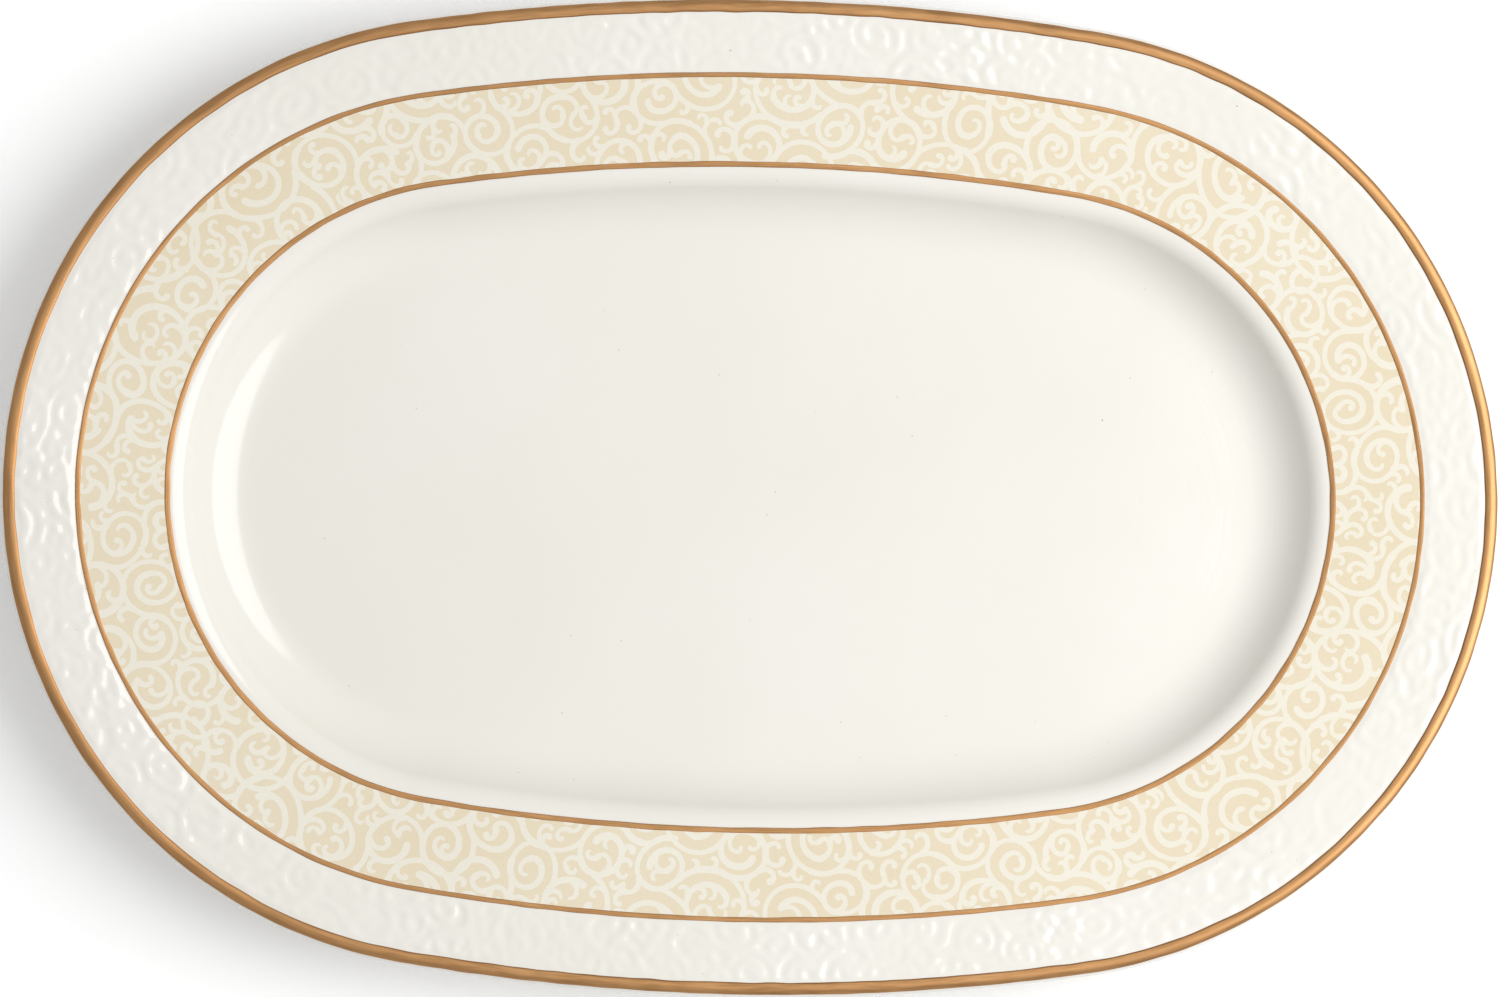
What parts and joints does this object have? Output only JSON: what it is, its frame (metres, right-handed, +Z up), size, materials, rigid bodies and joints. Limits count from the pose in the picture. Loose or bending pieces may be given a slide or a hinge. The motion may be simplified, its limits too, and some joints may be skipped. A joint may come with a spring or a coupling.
{
  "type": "china serving platter",
  "caption": "Oval china serving platter with a sloping rim, printed scroll border, gilded lines, sunken well and foot ring.",
  "frame": {"origin": "on the table, straight under the middle of the well", "axes": "+X along the platter's length, +Y across it, +Z up out of the well"},
  "size_m": [0.35, 0.2332, 0.0247],
  "materials": {
    "bisque_porcelain": "unglazed, fine matte",
    "clear_glaze": "gloss",
    "ivory_print": "gloss",
    "gilding": "brushed by hand, satin"
  },
  "bodies": {
    "root": {"platter_body": "bisque_porcelain", "glaze_coat": "clear_glaze", "foot_recess_glaze": "clear_glaze", "ivory_border_print": "ivory_print", "gold_rim_band": "gilding", "gold_line_outer": "gilding", "gold_line_inner": "gilding"}
  },
  "joints": []
}
